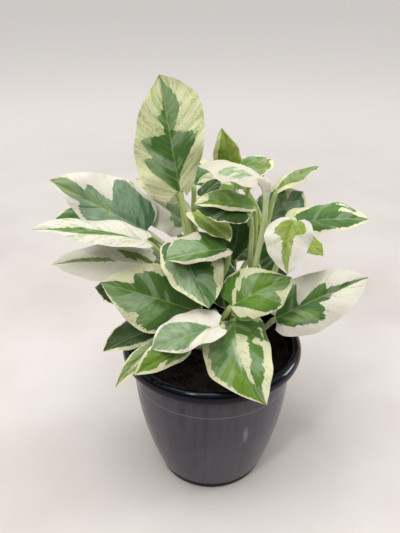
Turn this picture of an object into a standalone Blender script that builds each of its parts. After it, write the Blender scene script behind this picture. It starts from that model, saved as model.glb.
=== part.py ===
"""Potted scindapsus: a bushy white-variegated pothos in a plain round nursery pot.

The pot is one moulded shell, the potting mix one plug inside it, and the plant is
a few short stems, each planted in its own hole in the mix, with one leaf at every
joint.  A leaf grew as one piece, so its stalk and blade are one solid.

Units: the tables are in millimetres and are turned into metres where they are used.
Frame: the origin is the centre of the pot's underside, +Z is up, the plant's open
front looks along -Y.
"""
import math
from collections import namedtuple

import bpy
import bmesh
import numpy as np
from mathutils import Vector

MM = 0.001

# ---------------------------------------------------------------- driving sizes (mm)
POT_HEIGHT = 110.0
RIM_RADIUS = 65.0
BASE_RADIUS = 39.5
WALL = 1.6
LIP_DEPTH = 10.0
TURN_STEPS = 40

FLOOR_THICKNESS = 2.0
FLOOR_CORNER = 1.0         # how far the wall leans in over the floor's edge
FOOT_RECESS = 2.0          # the pot stands on an outer foot ring and a centre pad
FOOT_RING = 4.0
FOOT_PAD_RADIUS = 10.5
FOOT_DRAFT = 1.5           # the slope of the ring's and the pad's sides
DRAIN_RADIUS = 3.6
DRAIN_CIRCLE = 26.0
DRAIN_HOLES = 6
DRAIN_DRILL = (-3.0, 10.0)

SOIL_TOP = 98.0
SOIL_CROWN = 1.5           # the mix is a little higher in the middle
SOIL_SLOPE = ((0.0, 1.0), (24.0, 0.7), (46.0, 0.0))
SOIL_EDGE = 0.8            # how far it has sunk along the wall
SOIL_GAP = 0.3
STEM_DEPTH = 13.0          # how deep a stem stands in the mix
STEM_RADIUS = 2.6
STEM_COLLAR = 0.5          # how straight it comes out of it
STEM_POINTS = 9
SEAT_GAP = 0.3
HOLE_TOP = 8.0             # how far the cutter of a stem's hole reaches over the mix

STALK_RADIUS_STEM = 2.1
STALK_RADIUS_BLADE = 1.7
STALK_RADIUS_LEAST = 0.4
STALK_OVER_WIDTH = 0.045
STALK_STRAIGHT = 5.0       # how far a stalk goes straight out of its stem
STALK_LEAVING = 0.3        # how long, over its reach, it keeps the way it left
STALK_ARRIVAL = 0.18       # how long, over its reach, it follows the midrib's line
STALK_BEHIND = 3.0         # how much the stalk of a hanging blade comes from behind
STALK_STATIONS = (0.0, 0.12, 0.3, 0.55, 0.8, 1.0)
BLADE_THICKNESS = 0.7
BLADE_CURL = 0.5           # how much the halves bend back towards their margins
KEEL = 1.9                 # how deep the midrib is at its stalk
KEEL_TAPER = 0.6           # and how much of that it loses towards the point
VEIN_SWEEP = 1.3           # how the side veins bend towards the point

# ---------------------------------------------------------------- the plant (mm)
# Each stem is a list of points from the surface of the mix to its top.
STEMS = {
    "stem_left": ((-7, 2, 98), (-9, 3, 130), (-12, 4, 160), (-14, 4, 186)),
    "stem_front": ((3, -13, 98), (2, -15, 120), (1, -20, 146)),
    "stem_right": ((20, -2, 98), (26, -1, 130), (30, 2, 165), (31, 5, 200)),
    "stem_back_right": ((11, 16, 98), (14, 22, 130), (15, 26, 165), (12, 26, 196)),
    "stem_back_left": ((-9, 18, 98), (-13, 24, 130), (-15, 28, 160), (-14, 28, 188)),
}

# One leaf: the stem and the height (0 at the mix, 1 at the top) that carry it, where
# its blade starts, where its point is, the way its upper face looks, its width, the
# rise of its midrib over its length, the fold of its two halves in degrees, the
# sideways bow of its midrib over its length, how far one half is set back, how much
# wider one half is than the other, how far its widest place is moved to the stalk, and
# how much narrower that one half is at the stalk.
Leaf = namedtuple("Leaf", "stem at base tip faces width arch fold bow skew lean low slim",
                  defaults=(0.05, 8, 0, 0, 0, 0, 0))
LEAVES = {
    "leaf_top": Leaf("stem_left", 1, (-22, 8, 220), (-35, 24, 291), (0.1, -0.9, 0.4), 55,
                     arch=0.03, skew=0.06, lean=0.1, low=-0.14, slim=0.8),
    "leaf_top_behind": Leaf("stem_left", 0.97, (-24, 14, 213), (-53, 26, 222), (-0.2, -0.5, 0.8), 21,
                            lean=0.24),
    "leaf_upper_left": Leaf("stem_left", 0.84, (-45, 8, 191), (-107, 8, 227), (-0.3, -0.6, 0.75), 46,
                            arch=0, fold=14, skew=0.05, lean=0.14, low=0.4),
    "leaf_left_inner": Leaf("stem_left", 0.9, (-20, 26, 189), (-48, 29, 209), (0.4, -0.6, 0.7), 34),
    "leaf_left": Leaf("stem_left", 0.72, (-43, -12, 193), (-113, -24, 206), (0, -0.2, 1), 29,
                      fold=14, lean=0.1),
    "leaf_left_low": Leaf("stem_left", 0.6, (-41, -4, 171), (-106, -16, 177), (0, -0.4, 0.9), 34,
                          arch=0.08),
    "leaf_left_back": Leaf("stem_left", 0.66, (-60, 24, 192), (-112, 26, 191), (0, -0.6, 0.8), 38),
    "leaf_lower_left": Leaf("stem_left", 0.3, (-11, -18, 144), (-72, -28, 171), (-0.15, -0.75, 0.65), 46),
    "leaf_lower_left_behind": Leaf("stem_left", 0.4, (-44, -4, 152), (-82, -2, 152), (0, -0.5, 0.8), 30),
    "leaf_centre": Leaf("stem_left", 0.8, (-24, -8, 190), (-2, -44, 162), (0.2, -0.5, 0.85), 41,
                        lean=-0.18),
    "leaf_low_left": Leaf("stem_front", 0.25, (-32, -20, 134), (-73, -34, 121), (-0.1, -0.5, 0.85), 26,
                          lean=0.33),
    "leaf_over_rim_left": Leaf("stem_front", 0.45, (-16, -44, 134), (-50, -54, 117), (0.35, -0.5, 0.8), 20,
                               arch=0.1, fold=14, lean=0.2, low=0.3),
    "leaf_over_rim_back": Leaf("stem_front", 0.35, (-30, -33, 129), (-62, -59, 110), (0.3, -0.5, 0.8), 12,
                               arch=0.06, fold=12, bow=0.08),
    "leaf_front_left": Leaf("stem_front", 0.97, (5, -49, 152), (-37, -60, 142), (0, -0.4, 0.9), 29,
                            arch=0.06, fold=16, lean=0.25, low=-0.35),
    "leaf_centre_small": Leaf("stem_left", 0.5, (9, -18, 191), (-29, -34, 191), (0.1, -0.5, 0.85), 25,
                              lean=0.4, low=-0.35),
    "leaf_centre_upper": Leaf("stem_left", 0.7, (-13, 6, 206), (11, -20, 197), (0.3, -0.3, 0.9), 24,
                              lean=-0.2),
    "leaf_bright": Leaf("stem_right", 0.8, (25, -8, 216), (-12, -20, 222), (0, -0.5, 0.85), 19,
                        arch=0.08, lean=0.4),
    "leaf_bright_below": Leaf("stem_right", 0.68, (21, -12, 214), (-12, -13, 217), (0, -0.4, 0.9), 22),
    "leaf_small_dark": Leaf("stem_back_left", 1, (-8, 14, 214), (5, 26, 222), (0.1, -0.6, 0.8), 12),
    "leaf_small_upright": Leaf("stem_right", 1, (12, 20, 232), (5, 11, 261), (0.2, -0.9, 0.3), 19,
                               arch=0.03, skew=-0.08, lean=-0.1, low=0.4),
    "leaf_white": Leaf("stem_right", 0.56, (27, -20, 239), (-10, -2, 241), (-0.1, 0.1, 1), 33,
                       arch=0.13, fold=-6, lean=0.1),
    "leaf_upper_right_small": Leaf("stem_right", 0.96, (25, 7, 232), (38, 24, 237), (-0.5, -0.4, 0.8), 18),
    "leaf_upper_back": Leaf("stem_back_right", 1, (20, 30, 230), (38, 52, 229), (-0.2, -0.3, 0.9), 18),
    "leaf_blue": Leaf("stem_right", 0.75, (35, 20, 191), (63, 36, 210), (-0.3, -0.7, 0.6), 38),
    "leaf_right_narrow": Leaf("stem_right", 0.88, (43, 22, 216), (74, 44, 226), (-0.1, 0.1, 1), 21,
                              arch=0.04, fold=12, lean=-0.2, low=-0.3),
    "leaf_right_upper": Leaf("stem_right", 0.62, (53, 6, 199), (106, 14, 199), (-0.1, -0.4, 0.9), 28,
                             arch=0.03, fold=10, lean=-0.25, low=-0.35),
    "leaf_right_hanging": Leaf("stem_right", 0.5, (49, -29, 216), (45, -44, 187), (0.1, -0.75, 0.6), 29,
                               bow=0.08, low=0.2),
    "leaf_right_inner": Leaf("stem_right", 0.44, (56, 2, 192), (72, -13, 184), (0, -0.4, 0.9), 16),
    "leaf_right_centre": Leaf("stem_front", 0.9, (12, -34, 158), (49, -34, 180), (-0.2, -0.7, 0.7), 36,
                              skew=0.12, lean=-0.14),
    "leaf_front": Leaf("stem_front", 0.62, (15, -28, 143), (35, -69, 107), (0.1, -0.6, 0.8), 46,
                       arch=0.08, bow=0.11, lean=0.02, low=0.2),
    "leaf_right": Leaf("stem_right", 0.2, (43, -21, 141), (105, -6, 165), (-0.3, -0.75, 0.65), 40,
                       fold=10),
    "leaf_inner_dark": Leaf("stem_back_right", 0.9, (18, 11, 204), (13, 8, 168), (0.35, -0.9, 0.3), 26),
    "leaf_inner_right": Leaf("stem_right", 0.34, (41, -4, 190), (43, -8, 158), (0.2, -0.9, 0.3), 24),
    "leaf_inner_centre": Leaf("stem_back_left", 0.5, (0, 18, 164), (10, -3, 136), (0.2, -0.9, 0.4), 28),
    "leaf_back_1": Leaf("stem_right", 0.28, (46, 16, 136), (100, 34, 130), (0.1, 0.1, 1), 42, arch=0.1),
    "leaf_back_2": Leaf("stem_back_right", 0.78, (40, 36, 178), (84, 62, 186), (0.2, 0.4, 0.9), 42,
                        arch=0.1),
    "leaf_back_3": Leaf("stem_back_right", 0.45, (26, 46, 150), (58, 98, 140), (0.1, 0.6, 0.8), 44,
                        arch=0.1),
    "leaf_back_4": Leaf("stem_back_right", 0.9, (16, 46, 208), (32, 96, 216), (0, 0.5, 0.85), 40,
                        arch=0.1),
    "leaf_back_5": Leaf("stem_back_left", 0.7, (-2, 52, 176), (6, 108, 168), (0, 0.7, 0.7), 46,
                        arch=0.1),
    "leaf_back_6": Leaf("stem_back_left", 0.95, (-14, 44, 212), (-30, 90, 226), (0, 0.5, 0.85), 40,
                        arch=0.08),
    "leaf_back_7": Leaf("stem_back_left", 0.4, (-26, 50, 141), (-48, 98, 125), (-0.2, 0.7, 0.8), 42,
                        arch=0.1),
    "leaf_back_8": Leaf("stem_back_left", 0.82, (-40, 42, 190), (-84, 72, 196), (-0.2, 0.5, 0.85), 44,
                        arch=0.1),
    "leaf_back_9": Leaf("stem_back_left", 0.55, (-46, 34, 158), (-98, 54, 154), (-0.1, 0.3, 0.95), 42,
                        arch=0.1),
    "leaf_back_10": Leaf("stem_back_left", 0.2, (-38, 26, 128), (-86, 40, 116), (-0.2, 0.3, 0.9), 38,
                         arch=0.12),
    "leaf_back_11": Leaf("stem_back_right", 0.2, (14, 50, 128), (24, 96, 110), (0, 0.5, 0.85), 38,
                         arch=0.12),
    "leaf_back_12": Leaf("stem_back_right", 0.3, (42, 40, 130), (82, 66, 112), (0.2, 0.4, 0.9), 38,
                         arch=0.12),
    "leaf_back_13": Leaf("stem_back_right", 0.66, (8, 50, 192), (40, 82, 176), (0.3, 0.6, 0.7), 34,
                         arch=0.1),
    "leaf_back_14": Leaf("stem_back_left", 0.3, (-8, 54, 142), (-10, 102, 128), (0, 0.6, 0.8), 40,
                         arch=0.1),
}

# The leaf's outline from its stalk to its point, for one half: how far along the
# midrib the side vein leaves it, and how far along and out its end on the margin is,
# as parts of the leaf's length and width.
OUTLINE = (
    (0.05, -0.050, 0.205),
    (0.10, 0.010, 0.360),
    (0.18, 0.190, 0.470),
    (0.33, 0.430, 0.500),
    (0.54, 0.665, 0.405),
    (0.75, 0.865, 0.210),
    (0.92, 0.965, 0.055),
)
RING_PARTS = (-1, -0.5, 0, 0.5, 1, 0.5, 0, -0.5)
RING_ANGLES = tuple(math.pi - math.pi / 4 * step for step in range(8))


# ---------------------------------------------------------------- scene helpers
def clear_scene():
    for old in list(bpy.data.objects):
        bpy.data.objects.remove(old, do_unlink=True)


def new_collection(name):
    collection = bpy.data.collections.new(name)
    bpy.context.scene.collection.children.link(collection)
    return collection


def principled(name, colour, roughness, metallic=0.0):
    material = bpy.data.materials.new(name)
    material.use_nodes = True
    shader = material.node_tree.nodes["Principled BSDF"]
    shader.inputs["Base Color"].default_value = (*colour, 1.0)
    shader.inputs["Roughness"].default_value = roughness
    shader.inputs["Metallic"].default_value = metallic
    return material


def add_object(name, data, collection, material=None):
    thing = bpy.data.objects.new(name, data)
    collection.objects.link(thing)
    if material is not None:
        data.materials.append(material)
    return thing


def cut(target, cutter):
    cutter.hide_render = True
    cutter.display_type = "WIRE"
    boolean = target.modifiers.new("cut_" + cutter.name, "BOOLEAN")
    boolean.operation = "DIFFERENCE"
    boolean.solver = "EXACT"
    boolean.object = cutter


def turned(name, profile, collection, material):
    """A profile of (radius, height) points in mm, from axis to axis, turned round Z."""
    shape = bmesh.new()
    points = [shape.verts.new((r * MM, 0, z * MM)) for r, z in profile]
    for start, end in zip(points, points[1:]):
        shape.edges.new((start, end))
    data = bpy.data.meshes.new(name)
    shape.to_mesh(data)
    shape.free()
    thing = add_object(name, data, collection, material)
    screw = thing.modifiers.new("turn", "SCREW")
    screw.steps = TURN_STEPS
    screw.render_steps = TURN_STEPS
    screw.use_merge_vertices = True
    screw.merge_threshold = 0.00001
    screw.use_smooth_shade = True
    return thing


def cylinder(name, radius, start, end, collection, sides=16):
    """A plain cylinder in mm between two points."""
    a = Vector(start) * MM
    b = Vector(end) * MM
    shape = bmesh.new()
    bmesh.ops.create_cone(shape, cap_ends=True, segments=sides, radius1=radius * MM,
                          radius2=radius * MM, depth=(b - a).length)
    data = bpy.data.meshes.new(name)
    shape.to_mesh(data)
    shape.free()
    thing = add_object(name, data, collection)
    thing.rotation_euler = (b - a).to_track_quat("Z", "Y").to_euler()
    thing.location = (a + b) / 2
    return thing


# ---------------------------------------------------------------- pot and mix
POT_BODY = (
    (57.6, 100.0), (57.2, 85.0), (56.0, 68.0), (53.4, 50.0),
    (49.6, 33.0), (45.4, 18.0), (41.6, 7.0), (BASE_RADIUS, 3.5), (BASE_RADIUS, 0.0),
)


def pot_wall_radius(height):
    """The pot's outer radius at a height, read between the profile's points."""
    heights = [z for _, z in reversed(POT_BODY)]
    radii = [r for r, _ in reversed(POT_BODY)]
    return float(np.interp(height, heights, radii))


# The turned-down lip from its inner to its outer side: how far in from the rim's
# radius, and how high over the lip's lower edge.
LIP = (
    (7.6, 6.2), (6.4, 8.8), (4.4, 10.0), (2.2, 9.4), (0.6, 7.4), (0.0, 4.8), (0.4, 2.2),
    (1.4, 0.5), (2.6, 0.0), (3.6, 1.0), (4.2, 4.0), (5.8, 4.9), (7.0, 3.4),
)


def pot_profile():
    """The pot's section: up the inside, over the lip, down the outside and the foot."""
    floor = FOOT_RECESS + FLOOR_THICKNESS
    inside = [(0.0, floor), (BASE_RADIUS - WALL - FLOOR_CORNER, floor)]
    inside += [(r - WALL, z) for r, z in reversed(POT_BODY[:-2])]
    lip = [(RIM_RADIUS - inset, POT_HEIGHT - LIP_DEPTH + rise) for inset, rise in LIP]
    foot = [
        (BASE_RADIUS - FOOT_RING, 0.0), (BASE_RADIUS - FOOT_RING - FOOT_DRAFT, FOOT_RECESS),
        (FOOT_PAD_RADIUS + FOOT_DRAFT, FOOT_RECESS), (FOOT_PAD_RADIUS, 0.0), (0.0, 0.0),
    ]
    return inside + lip + list(POT_BODY) + foot


def make_pot(collection, cutters, material):
    pot = turned("pot", pot_profile(), collection, material)
    low, high = DRAIN_DRILL
    for hole in range(DRAIN_HOLES):
        turn = 2 * math.pi * (hole + 0.5) / DRAIN_HOLES
        x = DRAIN_CIRCLE * math.cos(turn)
        y = DRAIN_CIRCLE * math.sin(turn)
        drill = cylinder(f"drain_{hole + 1}", DRAIN_RADIUS, (x, y, low), (x, y, high), cutters)
        cut(pot, drill)
    return pot


def make_soil(collection, cutters, material, routes):
    """The mix fills the pot to just under its lip, with a hole for each stem."""
    floor = FOOT_RECESS + FLOOR_THICKNESS + SOIL_GAP
    wall = WALL + SOIL_GAP
    top = SOIL_TOP - SOIL_EDGE
    profile = [(radius, SOIL_TOP + SOIL_CROWN * rise) for radius, rise in SOIL_SLOPE]
    profile.append((pot_wall_radius(top) - wall, top))
    profile += [(r - wall, z) for r, z in POT_BODY[:-2] if z < top]
    profile += [(BASE_RADIUS - wall - FLOOR_CORNER - SOIL_GAP, floor), (0.0, floor)]
    soil = turned("soil", profile, collection, material)
    for name, route in routes.items():
        low, high = route[0], route[1]
        way = (high - low).normalized()
        hole = cylinder("hole_" + name, STEM_RADIUS + SEAT_GAP,
                        low - way * SEAT_GAP, low + way * (STEM_DEPTH + HOLE_TOP), cutters, 12)
        cut(soil, hole)
    return soil


# ---------------------------------------------------------------- stems
def smooth_route(points, count):
    """Points of a smooth curve through the given ones."""
    knots = np.array(points, float)
    padded = np.vstack([2 * knots[0] - knots[1], knots, 2 * knots[-1] - knots[-2]])
    route = []
    for place in np.linspace(0, len(knots) - 1, count):
        i = min(int(place), len(knots) - 2)
        t = place - i
        a, b, c, d = padded[i:i + 4]
        route.append(0.5 * (2 * b + (c - a) * t + (2 * a - 5 * b + 4 * c - d) * t * t
                            + (3 * b - a - 3 * c + d) * t ** 3))
    return [Vector(p) for p in route]


def stem_route(points):
    """A stem's centre line, from its foot in the mix to its top."""
    above = smooth_route(points, STEM_POINTS)
    way = (above[1] - above[0]).normalized()
    return [above[0] - way * STEM_DEPTH, above[0] + way * STEM_COLLAR] + above[1:]


def stem_place(route, at):
    """The point and direction on a stem at a part of its height above the mix."""
    place = at * (len(route) - 2)
    i = min(int(place), len(route) - 3)
    a, b = route[i + 1], route[i + 2]
    return a.lerp(b, place - i), (b - a).normalized()


def make_stem(name, route, collection, material):
    curve = bpy.data.curves.new(name, "CURVE")
    curve.dimensions = "3D"
    curve.bevel_depth = STEM_RADIUS * MM
    curve.bevel_resolution = 2
    curve.use_fill_caps = True
    line = curve.splines.new("POLY")
    line.points.add(len(route) - 1)
    for point, place in zip(line.points, route):
        point.co = (*(place * MM), 1.0)
    return add_object(name, curve, collection, material)


# ---------------------------------------------------------------- leaves
def leaf_axes(leaf):
    """A leaf's length and the directions along it, across it and out of its face."""
    chord = Vector(leaf.tip) - Vector(leaf.base)
    length = chord.length
    along = chord / length
    up = Vector(leaf.faces)
    up = (up - along * up.dot(along)).normalized()
    return length, along, up, along.cross(up)


def blade_surface(leaf):
    """The upper face as a function of the place along and across the blade."""
    length, along, up, across = leaf_axes(leaf)
    base = Vector(leaf.base)
    fold = math.radians(leaf.fold)

    def surface(u, v):
        out = abs(v)
        bulge = 4 * u * (1 - u)
        rise = leaf.arch * bulge * length + out * math.sin(fold)
        rise -= out * out / leaf.width * BLADE_CURL
        side = v * math.cos(fold) + leaf.bow * bulge * length
        return base + along * u * length + across * side + up * rise

    return surface


def blade_rings(leaf):
    """Rings of eight points round the blade, each along a pair of side veins: four
    steps over the upper face from margin to margin and four back under it."""
    surface = blade_surface(leaf)
    up = leaf_axes(leaf)[2]
    rings = []
    for rib, margin, out in OUTLINE:
        rib -= leaf.low * rib * (1 - rib)
        margin -= leaf.low * margin * (1 - margin)
        ring = []
        for part in RING_PARTS:
            half = 1 if part > 0 else -1
            end = margin + half * leaf.skew * 4 * rib * (1 - rib)
            u = rib + (end - rib) * abs(part) ** VEIN_SWEEP
            width = leaf.width * (1 + half * leaf.lean)
            if half == 1:
                width *= 1 - leaf.slim * (1 - rib) ** 3
            ring.append(surface(u, part * out * width))
        ring[5] -= up * BLADE_THICKNESS
        ring[6] -= up * KEEL * (1 - KEEL_TAPER * rib)
        ring[7] -= up * BLADE_THICKNESS
        rings.append(ring)
    return rings, surface(1.0, 0.0)


def blade_end_radius(leaf):
    """The stalk's radius at the blade: thinner on a narrow blade."""
    return min(STALK_RADIUS_BLADE, STALK_RADIUS_LEAST + STALK_OVER_WIDTH * leaf.width)


def stalk_line(leaf, route):
    """The leaf stalk's centre line from the stem to the blade, as a cubic curve's four points.

    It leaves the stem squarely and runs into the midrib.  The stalk of a blade that
    hangs down comes to it from behind.
    """
    _, along, up, _ = leaf_axes(leaf)
    place, way = stem_place(route, leaf.at)
    base = Vector(leaf.base) - up * blade_end_radius(leaf)
    if leaf.at == 1:
        out = way
        start = place + way * SEAT_GAP
    else:
        out = base - place
        out = (out - way * out.dot(way)).normalized()
        start = place + out * (STEM_RADIUS + SEAT_GAP)
    reach = base - start
    hang = max(0.0, -along.dot(reach.normalized()))
    arrive = (along + up * hang * STALK_BEHIND).normalized()
    first = start + out * max(STALK_STRAIGHT, STALK_LEAVING * reach.length)
    last = base - arrive * STALK_ARRIVAL * reach.length
    return start, first, last, base


def cubic(line, t):
    """The place and direction at a part of a cubic curve."""
    a, b, c, d = line
    s = 1 - t
    place = a * s ** 3 + b * 3 * t * s * s + c * 3 * t * t * s + d * t ** 3
    way = (b - a) * s * s + (c - b) * 2 * t * s + (d - c) * t * t
    return place, way.normalized()


def round_ring(centre, way, side, radius):
    """Eight points of a circle, in the order of a blade's ring."""
    up = side.cross(way).normalized()
    side = way.cross(up).normalized()
    return [centre + (side * math.cos(a) + up * math.sin(a)) * radius for a in RING_ANGLES]


def stalk_rings(leaf, route):
    """Rings round the leaf stalk, turned so that they run into the blade's first ring."""
    line = stalk_line(leaf, route)
    side = leaf_axes(leaf)[3]
    rings = []
    for t in reversed(STALK_STATIONS):
        centre, way = cubic(line, t)
        side = (side - way * side.dot(way)).normalized()
        radius = STALK_RADIUS_STEM + (blade_end_radius(leaf) - STALK_RADIUS_STEM) * t
        rings.append(round_ring(centre, way, side, radius))
    return rings[::-1]


def leaf_shape(leaf, route):
    """A whole leaf's points and faces: the stalk and the blade as one closed loft.

    The quads of the thin blade are split the same way above and below.
    """
    blade, point = blade_rings(leaf)
    rings = stalk_rings(leaf, route) + blade
    points = [p for ring in rings for p in ring] + [point]
    faces = [tuple(range(7, -1, -1))]
    for row in range(len(rings) - 1):
        near, far = row * 8, row * 8 + 8
        for i in range(8):
            j = (i + 1) % 8
            if i in (0, 1, 4, 5):
                faces.append((near + i, near + j, far + j))
                faces.append((near + i, far + j, far + i))
            else:
                faces.append((near + i, near + j, far + i))
                faces.append((near + j, far + j, far + i))
    last = len(rings) * 8 - 8
    faces += [(last + i, last + (i + 1) % 8, len(points) - 1) for i in range(8)]
    return points, faces


def make_leaf(name, leaf, route, collection, material):
    points, faces = leaf_shape(leaf, route)
    data = bpy.data.meshes.new(name)
    data.from_pydata([p * MM for p in points], [], faces)
    data.shade_smooth()
    data.set_sharp_from_angle(angle=math.radians(50))
    return add_object(name, data, collection, material)


# ---------------------------------------------------------------- the whole plant
def main():
    clear_scene()
    parts = new_collection("potted_scindapsus")
    cutters = new_collection("cutters")
    plastic = principled("pot_plastic", (0.035, 0.036, 0.042), 0.38)
    mix = principled("potting_mix", (0.022, 0.014, 0.011), 0.95)
    stem_green = principled("stem_green", (0.25, 0.38, 0.10), 0.45)
    leaf_green = principled("leaf_variegated", (0.36, 0.50, 0.22), 0.4)

    routes = {name: stem_route(points) for name, points in STEMS.items()}
    make_pot(parts, cutters, plastic)
    make_soil(parts, cutters, mix, routes)
    for name, route in routes.items():
        make_stem(name, route, parts, stem_green)
    for name, leaf in LEAVES.items():
        make_leaf(name, leaf, routes[leaf.stem], parts, leaf_green)


main()
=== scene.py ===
"""The looks of the potted scindapsus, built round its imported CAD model.

Every leaf, stem, the potting mix and the pot is made again here as a finer mesh in the
place of its CAD node.  The tables of sizes and places are in millimetres, as in the
part's own source, and are turned into metres where a mesh is made.
"""
import math
import random
from collections import namedtuple

import bmesh
import bpy
import numpy as np
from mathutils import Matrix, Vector, noise


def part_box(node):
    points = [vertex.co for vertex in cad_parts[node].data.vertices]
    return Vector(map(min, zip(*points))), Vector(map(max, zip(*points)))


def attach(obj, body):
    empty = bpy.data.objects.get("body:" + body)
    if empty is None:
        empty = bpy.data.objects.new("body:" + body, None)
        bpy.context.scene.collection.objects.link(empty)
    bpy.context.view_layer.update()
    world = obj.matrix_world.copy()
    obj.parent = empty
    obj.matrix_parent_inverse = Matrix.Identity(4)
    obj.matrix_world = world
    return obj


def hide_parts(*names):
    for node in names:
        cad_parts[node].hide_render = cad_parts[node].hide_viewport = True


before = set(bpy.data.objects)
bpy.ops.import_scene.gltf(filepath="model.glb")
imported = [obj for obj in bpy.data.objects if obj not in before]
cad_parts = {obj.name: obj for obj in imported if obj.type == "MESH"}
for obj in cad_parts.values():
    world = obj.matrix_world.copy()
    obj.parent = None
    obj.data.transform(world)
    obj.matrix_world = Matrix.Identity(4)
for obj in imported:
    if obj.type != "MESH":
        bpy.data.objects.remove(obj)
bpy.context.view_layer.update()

MM = 0.001

# --- sizes from the frame (mm)
pot_low, pot_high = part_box("pot")
POT_HEIGHT = pot_high.z / MM
RIM_RADIUS = (pot_high.x - pot_low.x) / 2 / MM

# In these tables a stem's name has no stem_ in front and a leaf's has no leaf_.
STEMS = dict(
    left=((-7, 2, 98), (-9, 3, 130), (-12, 4, 160), (-14, 4, 186)),
    front=((3, -13, 98), (2, -15, 120), (1, -20, 146)),
    right=((20, -2, 98), (26, -1, 130), (30, 2, 165), (31, 5, 200)),
    back_right=((11, 16, 98), (14, 22, 130), (15, 26, 165), (12, 26, 196)),
    back_left=((-9, 18, 98), (-13, 24, 130), (-15, 28, 160), (-14, 28, 188)),
)

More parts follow.
